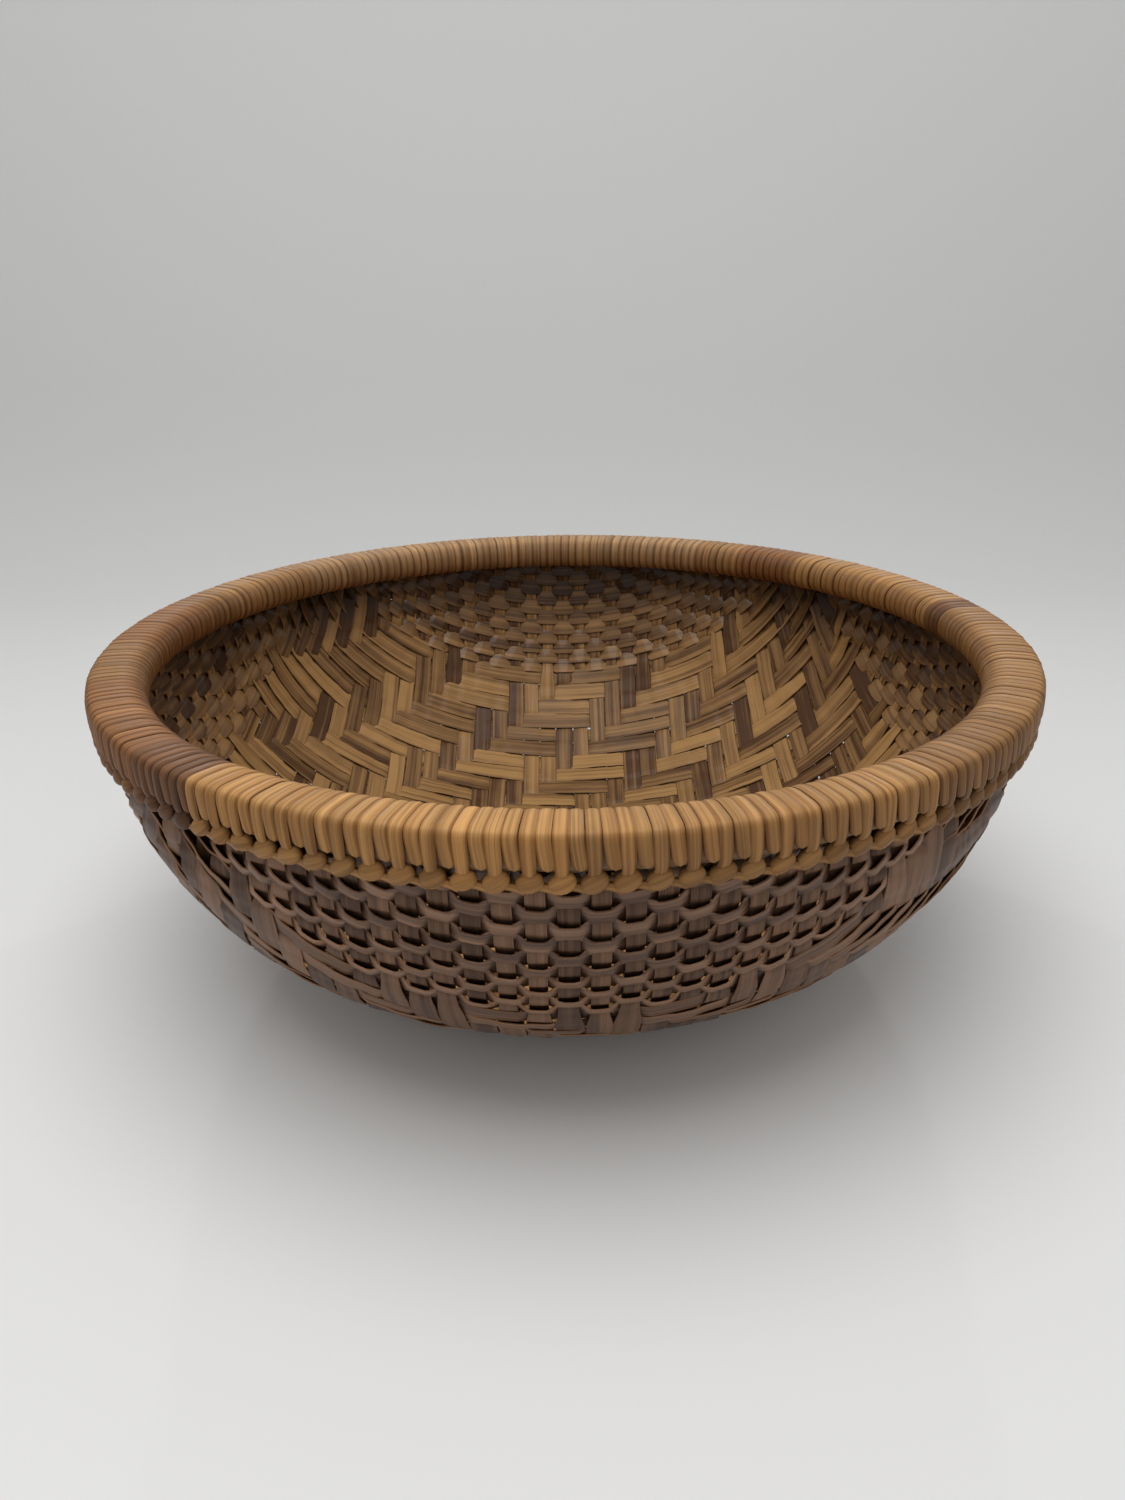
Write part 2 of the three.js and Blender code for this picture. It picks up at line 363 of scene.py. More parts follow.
class Build:
    """Gathers strips and beads, each with its shading values, and makes one mesh of them.

    Each point has its length along and across its strip, which place the fibres, a flag for the
    inner or upper face, its distance from the strip's middle line (1 at the edge) and a tint.
    """

    def __init__(self):
        self.points, self.faces, self.values, self.count = [], [], [], 0

    def add(self, points, faces, grain, flag, edge, tint):
        along, across = grain
        grain = np.column_stack([along * MM, across * MM, flag, edge])
        tints = np.broadcast_to(tint, (len(points), 4))
        self.points.append(points)
        self.faces.append(faces + self.count)
        self.values.append(np.hstack([grain, tints]))
        self.count += len(points)

    def piece(self, name, material, slot, *nodes):
        points = np.vstack(self.points) * MM
        faces = np.vstack(self.faces)
        values = np.vstack(self.values)
        mesh = bpy.data.meshes.new(name)
        mesh.vertices.add(len(points))
        mesh.vertices.foreach_set("co", points.ravel())
        mesh.loops.add(faces.size)
        mesh.loops.foreach_set("vertex_index", faces.ravel().astype(np.int32))
        mesh.polygons.add(len(faces))
        mesh.polygons.foreach_set("loop_start", np.arange(0, faces.size, 4, dtype=np.int32))
        mesh.polygons.foreach_set("use_smooth", np.ones(len(faces), dtype=bool))
        place = mesh.attributes.new("grain", "FLOAT_VECTOR", "POINT")
        place.data.foreach_set("vector", values[:, :3].ravel())
        edge = mesh.attributes.new("edge", "FLOAT", "POINT")
        edge.data.foreach_set("value", values[:, 3])
        tint = mesh.attributes.new("tint", "FLOAT_COLOR", "POINT")
        tint.data.foreach_set("color", values[:, 4:].ravel())
        mesh.update(calc_edges=True)
        mesh.validate()
        mesh.set_sharp_from_angle(angle=math.radians(50))
        obj = bpy.data.objects.new(name, mesh)
        bpy.context.scene.collection.objects.link(obj)
        mesh.materials.append(material)
        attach(obj, "root")
        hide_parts(*nodes)
        return obj


# ---- splints ----

def ramp(value):
    value = np.clip(value, 0, 1)
    return value * value * (3 - 2 * value)


def over_under(along, places, heights, flats):
    """Height along a splint: level over each crossing, with a smooth slope between."""
    knots = np.column_stack([places - flats, places + flats]).ravel()
    levels = np.repeat(heights, 2)
    k = np.clip(np.searchsorted(knots, along) - 1, 0, len(knots) - 2)
    between = ramp((along - knots[k]) / (knots[k + 1] - knots[k]))
    return levels[k] + (levels[k + 1] - levels[k]) * between


def wander(along, size, wavelength):
    """A smooth random wave along a splint, mostly within its size."""
    phases = random.uniform(0, 2 * math.pi, 3)
    lengths = wavelength * random.uniform(0.6, 1.6, 3)
    waves = [np.sin(2 * math.pi * along / length + phase) for length, phase in zip(lengths, phases)]
    return size * sum(waves) / 1.8


SLIPS = random.random((2 * BROAD_EACH_SIDE + 1, 2 * BROAD_EACH_SIDE + 1)) < SLIP_CHANCE


def side_over(i, j):
    """Whether the side-to-side splint j lies over the front-to-back splint i in the twill."""
    place = (i - j) % TWILL_REPEAT
    half = TWILL_REPEAT // 2
    return place < half or (place == half and SLIPS[i, j])


def broad_crossings(index, front_to_back):
    """Places, heights and level half-lengths of a broad splint's crossings, along the splint."""
    others = range(-BROAD_EACH_SIDE, BROAD_EACH_SIDE + 1)
    covered = [side_over(index, other) if front_to_back else not side_over(other, index)
               for other in others]
    signs = [-1 if item else 1 for item in covered]
    rows = []
    for k, other in enumerate(others):
        mid_float = signs[k] == signs[max(k - 1, 0)] == signs[min(k + 1, len(signs) - 1)]
        height = signs[k] * TWILL_HEIGHT * (ARCH if mid_float else 1)
        rows.append((other * BROAD_PITCH, height, BROAD_LEVEL * BROAD_PITCH))
    for wall in (-1, 1):
        for row in range(WEFTS_PER_WALL):
            sign = 1 if (index + row) % 2 else -1
            rows.append((wall * weft_place(row), sign * UPRIGHT_HEIGHT, UPRIGHT_LEVEL * WEFT.width))
    return np.array(sorted(rows)).T


def weft_place(row):
    """Distance of a weft from the mat's middle."""
    return BAND_START + (row + 0.5) * WEFT_PITCH


def weft_crossings(row):
    """The same as broad_crossings for a weft, which crosses the broad splints of one set."""
    rows = []
    for other in range(-BROAD_EACH_SIDE, BROAD_EACH_SIDE + 1):
        sign = -1 if (other + row) % 2 else 1
        rows.append((other * BROAD_PITCH, sign * WEFT_HEIGHT, WEFT_LEVEL * BROAD_PITCH))
    return np.array(rows).T


def splint_line(offset, front_to_back):
    """Points of a net line and a neighbouring line, with the length along it, up to the rim."""
    along = np.arange(-NET_REACH, NET_REACH, STEP)
    places = [(offset, along), (offset + 1, along)]
    if not front_to_back:
        places = [(along, offset), (along, offset + 1)]
    line, beside = [net_point(*np.broadcast_arrays(np.float64(u), np.float64(v))) for u, v in places]
    line[~np.isfinite(beside[:, 0])] = np.nan
    outside = ~(line[:, 2] < SPLINT_TOP)
    middle = len(along) // 2
    first = np.flatnonzero(outside[:middle])[-1] + 1
    last = middle + np.flatnonzero(outside[middle:])[0]
    return along[first:last], line[first:last], beside[first:last]


def half_widths(kind, along, spacing):
    """Half the width along a splint, which is never wider than its share of the room there."""
    to_wall = ramp((np.abs(along) - BAND_START + SHAVING_LEAD) / SHAVING_LENGTH)
    half = (kind.width + (kind.wall_width - kind.width) * to_wall) / 2
    half = half * random.normal(1, kind.uneven) * (1 + wander(along, kind.wavy, WIDTH_WAVELENGTH))
    return np.minimum(half, spacing * kind.pitch * kind.share)


def turn_round_uprights(half, height):
    """How a weft's half width, its drop down the wall and its tilt change with its height."""
    outside = np.clip(-height / WEFT_HEIGHT, 0, 1)
    sag = WEFT_SAG * half * outside
    hang = WEFT_HANG * half * ramp(HANG_START + height / WEFT_HEIGHT)
    return half - sag + hang, sag + hang, WEFT_TILT * (1 + OUTSIDE_TILT * outside)


def lay_splint(build, kind, offset, front_to_back, crossings, lightness):
    """One splint along a line of the net, at its offset from the mat's middle line."""
    along, line, beside = splint_line(offset, front_to_back)
    normal = surface(line)[1]
    side = unit(np.cross(unit(np.gradient(line, axis=0)), normal))
    downhill = -np.sign(side[:, 2])
    spacing = np.abs(dot(beside - line, side))[:, 0]  # of neighbouring net lines: 1 where unsheared
    shear = ramp((SHEAR_START - spacing) / SHEAR_RANGE)
    half = half_widths(kind, along, spacing)
    height = over_under(along, *crossings) * (1 + SHEAR_RELIEF * shear) + wander(along, *HEIGHT_WAVE)
    stray = wander(along, kind.stray, STRAY_WAVELENGTH)
    twist = wander(along, *TWIST_WAVE)
    tilt = SCALE_TILT * shear
    if kind is WEFT:
        half, drop, tilt = turn_round_uprights(half, height)
        stray = stray + drop * downhill
    twist = twist + tilt * downhill
    if kind is SIDE_TO_SIDE:
        twist = twist + SIDE_TO_SIDE_TILT * np.sign(offset + 1)
    twist = twist[:, None]
    centre = line + normal * height[:, None] + side * stray[:, None]
    level = side * np.cos(twist) + normal * np.sin(twist)
    upward = normal * np.cos(twist) - side * np.sin(twist)
    points, faces = sweep(centre, level * half[:, None], upward * (kind.thickness / 2), SPLINT_SECTION)
    points[:, 2] = np.maximum(points[:, 2], LOWEST)
    across = SPLINT_SECTION[:, 0] * half[:, None]
    tint = splint_tint(lightness, height[:, None] + np.sin(twist) * across)
    grain = scatter(np.repeat(along, len(SPLINT_SECTION)), across.ravel())
    inner = np.tile((SPLINT_SECTION[:, 1] > 0).astype(float), len(along))
    edge = np.tile(np.abs(SPLINT_SECTION[:, 0]), len(along))
    build.add(points, faces, grain, inner, edge, tint)


def splint_tint(lightness, lift):
    """For each point, red is how light the splint is and green how far in the point lies, from which the
    material paints shade in the pits of the weave.
    """
    tints = np.tile([lightness, 0.0, 0.0, 1.0], (lift.size, 1))
    tints[:, 1] = np.clip(0.5 + 0.5 * lift / WEFT_HEIGHT, 0, 1).ravel()
    return tints


def random_lightness(middle, spread):
    return np.clip(random.normal(middle, spread), 0, 1)


def weave_broad(kind, name, material, node):
    """One set of broad splints, as several pieces."""
    front_to_back = kind is FRONT_TO_BACK
    indices = np.array_split(np.arange(-BROAD_EACH_SIDE, BROAD_EACH_SIDE + 1), GROUPS)
    for group, members in enumerate(indices):
        build = Build()
        for index in members:
            lay_splint(build, kind, index * BROAD_PITCH, front_to_back,
                       broad_crossings(index, front_to_back), random_lightness(kind.light, kind.varied))
        build.piece(f"{name}_{group + 1}", material, "mat_bamboo", node)


def weave_wall(name, side, front_to_back, material, node):
    """The wefts of one wall: they are lightest at the bottom of the band."""
    build = Build()
    for row in range(WEFTS_PER_WALL):
        light = WEFT.light - WEFT_DARKENING * min(row, DARKENING_ROWS)
        lay_splint(build, WEFT, side * weft_place(row), front_to_back, weft_crossings(row),
                   random_lightness(light, WEFT.varied))
    build.piece(name, material, "weft_bamboo", node)


# ---- binding ----

def rim_outline():
    """The rim's section from its lower outer side over the top to below the inner hoop."""
    angle = np.linspace(math.radians(OUTLINE_START), math.radians(OUTLINE_END), OUTLINE_POINTS)
    across, up = np.cos(angle), np.sin(angle)
    outer = np.where(up < 0, OUTER_LOW_SQUARENESS, OUTER_TOP_SQUARENESS)
    power = 2 / np.where(across < 0, INNER_SQUARENESS, outer)
    radius = RIM_RADIUS - RIM_HALF_WIDTH + RIM_HALF_WIDTH * np.sign(across) * np.abs(across) ** power
    height = RIM_HEIGHT + RIM_HALF_HEIGHT * np.sign(up) * np.abs(up) ** power
    return radius, height


def wrap_path(bottom):
    """Evenly spaced radii, heights and lengths of the outline, from a height on its outer face."""
    radius, height = rim_outline()
    start = np.flatnonzero((height > bottom) & (radius > RIM_RADIUS - RIM_HALF_WIDTH))[0]
    radius, height = radius[start:], height[start:]
    length = np.concatenate([[0], np.cumsum(np.hypot(np.diff(radius), np.diff(height)))])
    even = np.linspace(0, length[-1], WRAP_STEPS)
    return np.interp(even, length, radius), np.interp(even, length, height), even


def wrap_sections(crown, tip):
    """A wrap's section at each step: a crowned face and a flat underside, thin at the tip."""
    over = np.stack([np.broadcast_to(WRAP_OVER, (WRAP_STEPS, len(WRAP_OVER))),
                     -crown[:, None] * np.abs(WRAP_OVER) ** CROWN_POWER], -1)
    under = np.stack([np.broadcast_to(WRAP_UNDER, (WRAP_STEPS, len(WRAP_UNDER))),
                      np.full((WRAP_STEPS, len(WRAP_UNDER)), -WRAP_THICKNESS)], -1)
    section = np.concatenate([over, under], 1)
    section[..., 1] = (section[..., 1] + WRAP_THICKNESS) * np.sqrt(tip)[:, None] - WRAP_THICKNESS
    return section


def wrap_line(azimuths, radius, height):
    """The middle of a wrap's outer face at each step, and the directions across and out of it."""
    ahead = unit(np.column_stack([np.gradient(radius), np.gradient(height)]))
    outward = np.column_stack([ahead[:, 1], -ahead[:, 0]])
    radial = np.column_stack([np.cos(azimuths), np.sin(azimuths), 0 * azimuths])
    tangent = np.column_stack([-np.sin(azimuths), np.cos(azimuths), 0 * azimuths])
    upward = np.array([0, 0, 1.0])
    rise = random.normal(*WRAP_RISE)
    centre = (radial * (radius + rise * outward[:, 0])[:, None]
              + upward * (height + rise * outward[:, 1])[:, None])
    return centre, tangent, radial * outward[:, :1] + upward * outward[:, 1:]


def add_wrap(build, azimuth, wrap, tint):
    """One turn of cane round the rim, from its lower end outside to its end below the inner hoop."""
    radius, height, length = wrap_path(wrap.bottom)
    on_side = ramp((radius - RIM_RADIUS + FACE_BLEND) / FACE_BLEND)
    on_top = ramp((height - RIM_HEIGHT - TOP_START) / FACE_BLEND) * (1 - on_side)
    lean = ramp((RIM_HEIGHT + LEAN_START - height) / LEAN_RANGE) * on_side * wrap.lean
    lean = lean + (RIM_RADIUS - radius) * random.normal(*WRAP_SLANT)
    half = 0.5 * math.radians(WRAP_PITCH) * radius * random.normal(*WRAP_WIDTH)
    half = half * (1 - wrap.narrowing * on_side * ramp((RIM_HEIGHT - height) / NARROW_RANGE))
    rounded = np.clip(length / wrap.rounding, 0, 1)
    tip = np.sqrt(np.clip(1 - (1 - rounded) ** 2, 0.02, 1))
    centre, tangent, normal = wrap_line(np.radians(azimuth) + lean / RIM_RADIUS, radius, height)
    section = wrap_sections(CROWN + CROWN_ON_SIDE * on_side + CROWN_ON_TOP * on_top, tip)
    points, faces = sweep(centre, tangent * (half * tip)[:, None], normal, section)
    around = section.shape[1]
    grain = scatter(np.repeat(length, around), (section[..., 0] * half[:, None]).ravel())
    build.add(points, faces, grain, np.repeat(on_top, around), np.abs(section[..., 0]).ravel(), tint)


def rim_place(azimuth, radius, across, height):
    """Point on the rim's outside: across is millimetres towards increasing azimuth."""
    angle = math.radians(azimuth) + np.asarray(across) / RIM_RADIUS
    height = np.broadcast_to(height, angle.shape)
    return np.stack([radius * np.cos(angle), radius * np.sin(angle), height], -1)


def add_bead(build, azimuth, tint):
    """A rounded knob that slants down to the left."""
    slant = math.radians(random.normal(*BEAD_SLANT))
    length = random.normal(*BEAD_LENGTH)
    width = random.normal(*BEAD_WIDTH)
    depth = random.normal(*BEAD_DEPTH)
    turn = np.linspace(0, 2 * math.pi, BEAD_ROUND, endpoint=False)
    rise = np.linspace(-math.pi / 2, math.pi / 2, BEAD_RINGS)
    ring = np.maximum(np.cos(rise), 0.03) ** 0.8
    along = length * np.sin(rise)[:, None] * np.ones(BEAD_ROUND)
    sideways = width * ring[:, None] * np.cos(turn)
    out = depth * ring[:, None] * np.sin(turn)
    across = along * math.sin(slant) + sideways * math.cos(slant)
    up = along * math.cos(slant) - sideways * math.sin(slant)
    points = rim_place(azimuth, BEAD_RADIUS + out, across + BEAD_OFFSET, BEAD_HEIGHT + up)
    points = points.reshape(-1, 3)
    faces = tube_faces(BEAD_RINGS, BEAD_ROUND)[:, ::-1]
    grain = scatter(along.ravel(), np.tile(0.5 * width * turn, BEAD_RINGS))
    edge = np.tile(0.5 * np.abs(np.cos(turn)), BEAD_RINGS)
    build.add(points, faces, grain, np.zeros(len(points)), edge, tint)


def add_tail(build, azimuth, tint):
    """The flat end of the cane that leaves a bead and runs on to the left below the next hole."""
    t = np.linspace(0, 1, TAIL_STEPS)
    across = -TAIL_START - TAIL_LENGTH * t
    height = TAIL_HEIGHT + TAIL_ARCH * np.sin(math.pi * t) + TAIL_RISE * t
    centre = rim_place(azimuth, BEAD_RADIUS + TAIL_PROUD - t, across, height)
    outward = unit(centre * [1, 1, 0])
    side = unit(np.cross(unit(np.gradient(centre, axis=0)), outward))
    half = TAIL_HALF_WIDTH - TAIL_TAPER * t
    points, faces = sweep(centre, side * half[:, None], outward * TAIL_HALF_THICKNESS, SPLINT_SECTION)
    grain = np.repeat(8 * t, len(SPLINT_SECTION)), np.tile(1.3 * SPLINT_SECTION[:, 0], TAIL_STEPS)
    edge = np.tile(np.abs(SPLINT_SECTION[:, 0]), TAIL_STEPS)
    build.add(points, faces, grain, np.zeros(len(points)), edge, tint)


def cane_tint(azimuth):
    """Colour of one wrap and its bead: its zone's colour, a little lighter, darker or ruddier."""
    azimuth = azimuth % 360
    azimuth = azimuth + 360 if azimuth < CANE_ZONES[0][0] else azimuth
    name = [zone for start, zone in CANE_ZONES if azimuth >= start][-1]
    variation = DARK_VARIATION if name == "dark" else CANE_VARIATION
    shade = np.array(CANE_COLOURS[name]) * random.normal(1, variation)
    ruddy = random.normal(0, RUDDY_VARIATION)
    return np.append(np.clip(shade * [1, 1 - ruddy, 1 - 2 * ruddy], 0, 1), 1.0)


def bind_rim(material, dark_material):
    """The wraps and beads of each length of cane, as one piece of each."""
    ends = CANE_JOINTS[1:] + (CANE_JOINTS[0] + 360,)
    for number, (joint, end) in enumerate(zip(CANE_JOINTS, ends)):
        wraps, beads = Build(), Build()
        for index in range(math.ceil(joint / WRAP_PITCH), math.ceil(end / WRAP_PITCH)):
            azimuth = (index + random.normal(0, 0.02)) * WRAP_PITCH
            tint = cane_tint(azimuth)
            long = index % 2 == 0
            add_wrap(wraps, azimuth, LONG_WRAP if long else SHORT_WRAP, tint)
            if long:
                add_bead(beads, azimuth, tint * BEAD_SHADE)
                add_tail(beads, azimuth, tint * BEAD_SHADE)
        dark = number == DARK_LENGTH
        slot = "dark_cane" if dark else "rim_cane"
        finish = dark_material if dark else material
        wraps.piece(f"binding_wraps_{number + 1}", finish, slot, f"rim_binding_{number + 1}")
        beads.piece(f"plait_beads_{number + 1}", finish, slot, f"edge_plait_{number + 1}")


# ---- materials ----

class Shader:
    """Short calls for building a node material."""

    def __init__(self, name):
        self.material = bpy.data.materials.new(name)
        self.material.use_nodes = True
        self.nodes = self.material.node_tree.nodes
        self.links = self.material.node_tree.links
        self.surface = self.nodes["Principled BSDF"]

    def link(self, source, target):
        if isinstance(source, bpy.types.NodeSocket):
            self.links.new(source, target)
        else:
            target.default_value = source

    def attribute(self, name):
        node = self.nodes.new("ShaderNodeAttribute")
        node.attribute_name = name
        return node

    def position(self):
        """Coordinates of the surface, in metres, for pieces that sit at the origin."""
        return self.nodes.new("ShaderNodeTexCoord").outputs["Object"]

    def split(self, vector):
        """The three parts of a vector."""
        node = self.nodes.new("ShaderNodeSeparateXYZ")
        self.link(vector, node.inputs[0])
        return node.outputs

    def math(self, operation, *inputs):
        node = self.nodes.new("ShaderNodeMath")
        node.operation = operation
        for socket, value in zip(node.inputs, inputs):
            self.link(value, socket)
        return node.outputs[0]

    def noise(self, vector, scale, detail=3.0):
        """Noise with its own scale along each part of the vector."""
        stretch = self.nodes.new("ShaderNodeVectorMath")
        stretch.operation = "MULTIPLY"
        self.link(vector, stretch.inputs[0])
        stretch.inputs[1].default_value = scale
        node = self.nodes.new("ShaderNodeTexNoise")
        node.inputs["Scale"].default_value = 1.0
        node.inputs["Detail"].default_value = detail
        node.inputs["Roughness"].default_value = 0.55
        self.link(stretch.outputs[0], node.inputs["Vector"])
        return node.outputs["Fac"]

    def spread(self, value, low, high, to_low=0.0, to_high=1.0):
        """The range from low to high stretched to the range from to_low to to_high."""
        node = self.nodes.new("ShaderNodeMapRange")
        for socket, item in zip(node.inputs, (value, low, high, to_low, to_high)):
            self.link(item, socket)
        return node.outputs[0]

    def mix(self, factor, a, b, blend="MIX"):
        node = self.nodes.new("ShaderNodeMix")
        node.data_type = "RGBA"
        node.blend_type = blend
        for name, value in (("Factor", factor), ("A", a), ("B", b)):
            self.link(value, node.inputs[name])
        return node.outputs["Result"]

    def shade(self, value):
        """A grey of this brightness, for multiplying."""
        node = self.nodes.new("ShaderNodeCombineColor")
        for socket in node.inputs:
            self.link(value, socket)
        return node.outputs[0]

    def bump(self, height, distance, strength):
        node = self.nodes.new("ShaderNodeBump")
        node.inputs["Strength"].default_value = strength
        node.inputs["Distance"].default_value = distance
        self.link(height, node.inputs["Height"])
        self.link(node.outputs[0], self.surface.inputs["Normal"])

    def finish(self, colour, roughness, coat, coat_roughness):
        self.link(colour, self.surface.inputs["Base Color"])
        self.link(roughness, self.surface.inputs["Roughness"])
        self.surface.inputs["Coat Weight"].default_value = coat
        self.surface.inputs["Coat Roughness"].default_value = coat_roughness
        return self.material


def bamboo(name, light, dark, outside, coat):
    """Varnished splints: fine fibres along each splint, and a tone of its own for each."""
    shader = Shader(name)
    grain = shader.attribute("grain").outputs["Vector"]
    tint = shader.nodes.new("ShaderNodeSeparateColor")
    shader.link(shader.attribute("tint").outputs["Color"], tint.inputs[0])
    lightness, depth = tint.outputs[0], tint.outputs[1]
    inner = shader.spread(shader.split(grain)[2], 0.55, 1.0)
    fibres = shader.noise(grain, (22, 2600, 0), 2.0)
    streaks = shader.noise(grain, (9, 620, 0), 2.0)
    stains = shader.noise(grain, (26, 60, 0), 3.0)
    stripes = shader.noise(grain, (4, 210, 0), 1.0)

    tone = lightness
    for pattern, amount in ((streaks, 0.28), (stripes, 0.3), (stains, 0.15), (fibres, 0.16)):
        tone = shader.math("ADD", tone, shader.spread(pattern, 0.3, 0.7, -amount, amount))
    tone = shader.spread(tone, 0, 1)
    colour = shader.mix(inner, shader.mix(tone, *outside), shader.mix(tone, dark, light))

    # Painted highlight: edges are lighter on the outside, where they catch the light; on the inside they
    # are darker towards the edges
    edge = shader.attribute("edge").outputs["Fac"]
    edge_highlight_and_darkening = shader.mix(inner, shader.shade(shader.spread(edge, 0.9, 1.0, 1.0, 1.6)),
                      shader.shade(shader.spread(edge, 0.9, 1.0, 1.0, 0.4)))
    colour = shader.mix(1.0, colour, edge_highlight_and_darkening, "MULTIPLY")

    # Painted shade: the outside is darker in the pits of the weave and lighter where it stands out, and
    # the inside is darker up under the rim, where the rim's shadow falls
    pits = shader.spread(depth, 0.3, 0.75, 1.2, 0.4)
    under_rim = shader.spread(shader.split(shader.position())[2], 0.088, 0.118, 1.0, 0.36)
    painted_shade = shader.mix(inner, shader.shade(pits), shader.shade(under_rim))
    colour = shader.mix(1.0, colour, painted_shade, "MULTIPLY")
    shader.bump(shader.math("ADD", shader.math("MULTIPLY", streaks, 0.7), fibres), 0.00012, 0.8)
    shader.surface.inputs["Specular IOR Level"].default_value = 0.15
    return shader.finish(colour, shader.spread(stains, 0.3, 0.7, 0.4, 0.6), coat, 0.1)


def cane(name, coat):
    """Split cane: each wrap's own colour, with fine fibres, darker streaks, and painted shade that
    darkens each wrap towards its edges, in the grooves between wraps.
    """
    shader = Shader(name)
    grain = shader.attribute("grain").outputs["Vector"]
    fibres = shader.noise(grain, (14, 3000, 0), 2.0)
    streaks = shader.noise(grain, (6, 800, 0), 2.0)
    stains = shader.noise(grain, (60, 90, 0), 3.0)
    shade = shader.math("MULTIPLY", shader.spread(fibres, 0.25, 0.75, 0.8, 1.12),
                        shader.spread(stains, 0.3, 0.7, 0.86, 1.06))
    colour = shader.mix(1.0, shader.attribute("tint").outputs["Color"], shader.shade(shade), "MULTIPLY")

    # Painted shade: each wrap turns darker brown towards its edges, where the grooves between wraps are;
    # the darker streaks are the cane's own
    groove = shader.spread(shader.attribute("edge").outputs["Fac"], 0.5, 1.0, 0.0, 0.75)
    brown = shader.math("ADD", groove, shader.spread(streaks, 0.35, 0.6, 0.7, 0.0))
    streaks_and_groove_shade = shader.mix(shader.spread(brown, 0, 1), (1.08, 1.08, 1.08, 1), (0.56, 0.47, 0.38, 1))
    colour = shader.mix(1.0, colour, streaks_and_groove_shade, "MULTIPLY")

    # The sides of the rim are darker and browner than its top: partly the cane's age, partly painted
    # shade, as the sides get less light
    on_top = shader.spread(shader.split(grain)[2], 0.0, 1.0)
    aged_and_shaded = shader.mix(on_top, (0.56, 0.52, 0.45, 1), (0.9, 0.9, 0.88, 1))
    colour = shader.mix(1.0, colour, aged_and_shaded, "MULTIPLY")
    shader.bump(shader.math("ADD", shader.math("MULTIPLY", streaks, 0.8), fibres), 0.0001, 0.8)
    shader.surface.inputs["Specular IOR Level"].default_value = 0.2
    return shader.finish(colour, shader.spread(stains, 0.3, 0.7, 0.45, 0.6), coat, 0.3)


def hoop_bamboo(name):
    """Scraped bamboo of the hidden hoops, with streaks round the rim by height."""
    shader = Shader(name)
    streaks = shader.noise(shader.position(), (40, 40, 900), 3.0)
    colour = shader.mix(shader.spread(streaks, 0.3, 0.7), (0.10, 0.055, 0.025, 1), (0.22, 0.13, 0.06, 1))
    shader.bump(streaks, 0.0002, 0.6)
    return shader.finish(colour, shader.spread(streaks, 0.3, 0.7, 0.5, 0.7), 0.0, 0.3)


# ---- studio ----

def paper():
    """Pale paper, with painted shade that makes it a little greyer towards the back until it curves up.
    """
    shader = Shader("pale_paper")
    place = shader.split(shader.position())
    # Painted shade: darker towards the back of the floor, and lighter again up the backdrop
    back = shader.spread(place[1], 0.1, 1.0, 0.0, 1.0)
    high = shader.spread(place[2], 0.1, 0.6, 0.0, 0.7)
    grey = shader.math("SUBTRACT", back, high)
    colour = shader.mix(grey, (0.82, 0.822, 0.82, 1), (0.63, 0.632, 0.63, 1))
    shader.surface.inputs["Specular IOR Level"].default_value = 0.2
    return shader.finish(colour, 0.8, 0.0, 0.3)


def lay_floor():
    """A pale floor that sweeps up into a backdrop behind the basket."""
    half_width, front, bend_start, bend, top = 2.5, -1.6, 0.55, 0.7, 2.4
    steps = 16
    outline = [(front, 0.0), (bend_start, 0.0)]
    for step in range(1, steps + 1):
        angle = step / steps * math.pi / 2
        outline.append((bend_start + bend * math.sin(angle), bend * (1 - math.cos(angle))))
    outline.append((bend_start + bend, top))
    points = [(side, y, z) for y, z in outline for side in (-half_width, half_width)]
    faces = [(2 * k, 2 * k + 1, 2 * k + 3, 2 * k + 2) for k in range(len(outline) - 1)]
    mesh = bpy.data.meshes.new("floor")
    mesh.from_pydata(points, [], faces)
    for polygon in mesh.polygons:
        polygon.use_smooth = True
    floor = bpy.data.objects.new("floor", mesh)
    bpy.context.scene.collection.objects.link(floor)
    mesh.materials.append(paper())


def light_scene():
    """A wide overhead light, two small lamps behind the basket and a dim surround."""
    add_light("overhead", (-0.1, -0.3, 1.4), target=(0, -0.25, 0), size=1.3, power=11)
    add_spot("left_lamp", (-0.55, 1.05, 0.65), power=3.5)
    add_spot("right_lamp", (0.55, 1.05, 0.65), power=3.5)
    world = bpy.data.worlds.new("surround")
    world.use_nodes = True
    background = world.node_tree.nodes["Background"]
    background.inputs["Color"].default_value = (1.0, 0.995, 0.98, 1)
    background.inputs["Strength"].default_value = 0.52
    bpy.context.scene.world = world
    bpy.context.scene.view_settings.view_transform = "Standard"


def hang_light(data, place, target, power):
    data.energy = power
    light = bpy.data.objects.new(data.name, data)
    light.location = place
    light.rotation_euler = (Vector(target) - Vector(place)).to_track_quat("-Z", "Y").to_euler()
    bpy.context.scene.collection.objects.link(light)


def add_light(name, place, target, size, power):
    data = bpy.data.lights.new(name, "AREA")
    data.shape = "DISK"
    data.size = size
    hang_light(data, place, target, power)


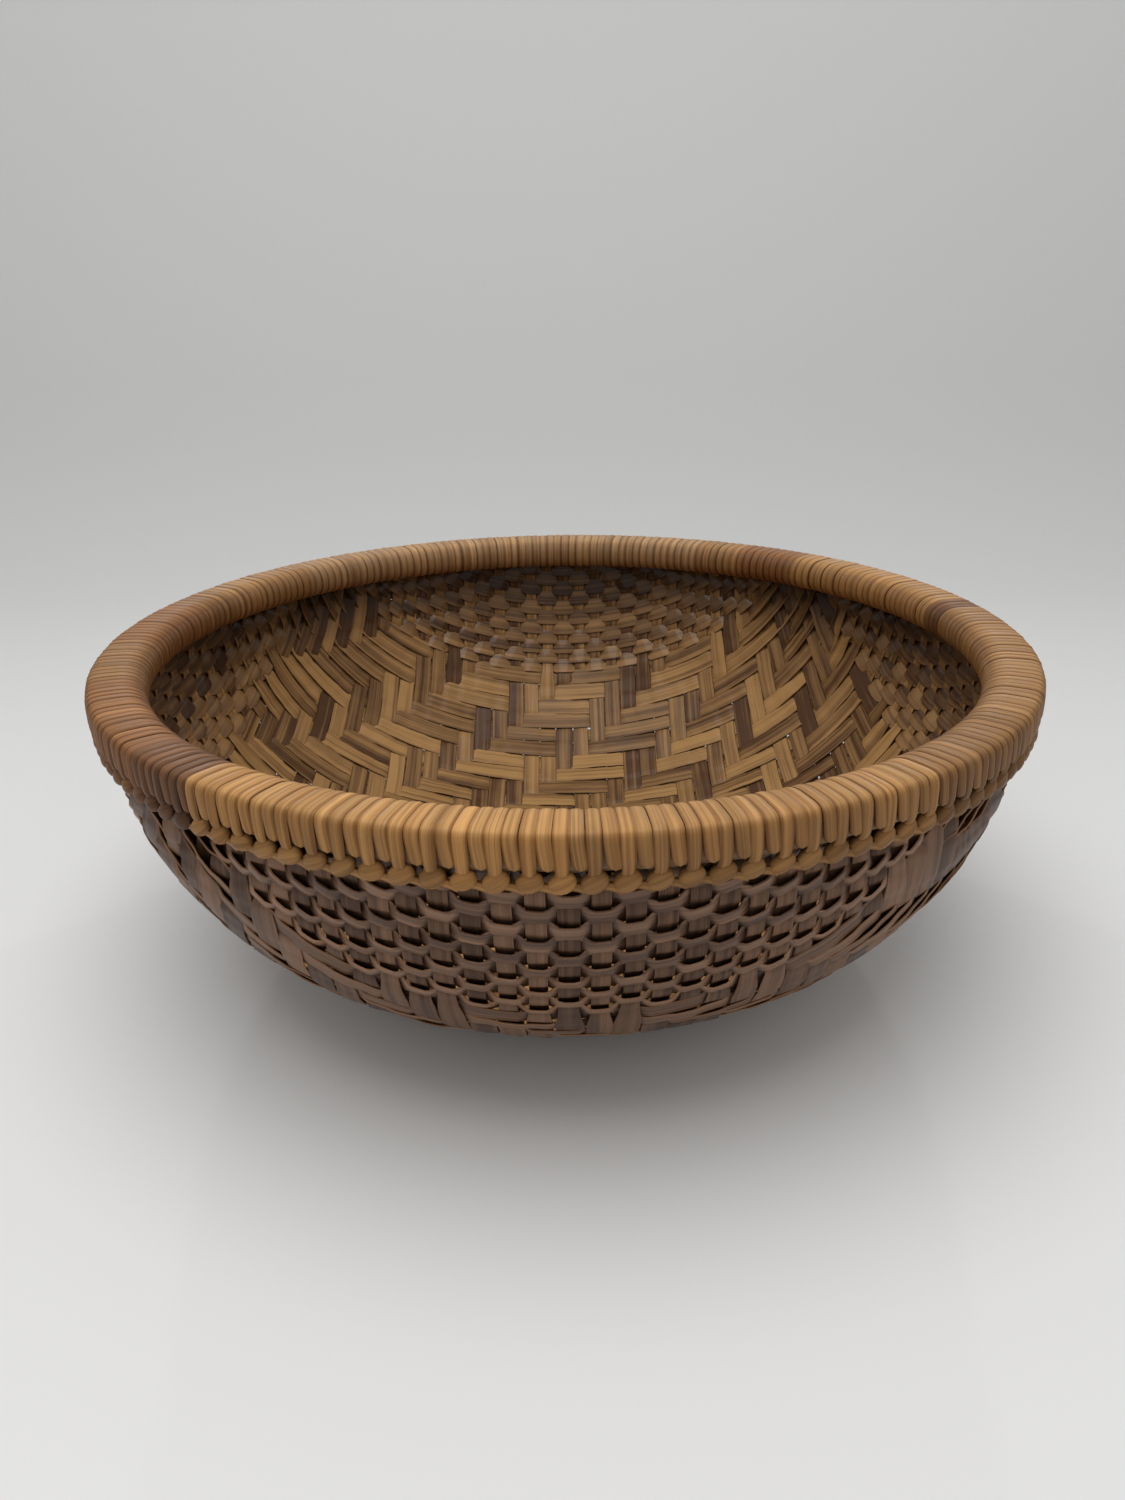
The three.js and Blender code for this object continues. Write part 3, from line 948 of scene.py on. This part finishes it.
def add_spot(name, place, power):
    """A small lamp that shines into the bowl, for the sheen of the varnish."""
    data = bpy.data.lights.new(name, "SPOT")
    data.spot_size = math.radians(26)
    data.spot_blend = 0.6
    data.shadow_soft_size = 0.02
    hang_light(data, place, (0, 0, 0.08), power)


def place_camera():
    """Looks down into the basket from the front."""
    data = bpy.data.cameras.new("camera")
    data.lens = CAMERA_LENS
    data.sensor_width = SENSOR_WIDTH
    obj = bpy.data.objects.new("camera", data)
    bpy.context.scene.collection.objects.link(obj)
    turn = Matrix.Rotation(math.pi / 2 - PITCH_DOWN, 4, "X") @ Matrix.Rotation(ROLL, 4, "Z")
    obj.matrix_world = Matrix.Translation(CAMERA_PLACE) @ turn
    bpy.context.scene.camera = obj


# ---- the basket ----

mat_bamboo = bamboo("mat_bamboo", (0.44, 0.245, 0.090, 1), (0.09, 0.041, 0.018, 1),
                    ((0.052, 0.026, 0.014, 1), (0.172, 0.092, 0.052, 1)), 0.1)
weft_bamboo = bamboo("weft_bamboo", (0.35, 0.19, 0.073, 1), (0.065, 0.029, 0.013, 1),
                     ((0.065, 0.032, 0.018, 1), (0.22, 0.120, 0.068, 1)), 0.3)
rim_cane = cane("rim_cane", 0.05)
dark_cane = cane("dark_cane", 0.06)
scraped_bamboo = hoop_bamboo("hoop_bamboo")

weave_broad(FRONT_TO_BACK, "splints_front_to_back", mat_bamboo, "front_to_back_splints")
weave_broad(SIDE_TO_SIDE, "splints_side_to_side", mat_bamboo, "side_to_side_splints")
weave_wall("wefts_right_wall", 1, True, weft_bamboo, "right_wall_wefts")
weave_wall("wefts_left_wall", -1, True, weft_bamboo, "left_wall_wefts")
weave_wall("wefts_back_wall", 1, False, weft_bamboo, "back_wall_wefts")
weave_wall("wefts_front_wall", -1, False, weft_bamboo, "front_wall_wefts")
bind_rim(rim_cane, dark_cane)
for node in ("rim_filler", "inner_hoop", "outer_hoop"):
    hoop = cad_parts[node]
    hoop.data.materials.clear()
    hoop.data.materials.append(scraped_bamboo)

lay_floor()
light_scene()
place_camera()
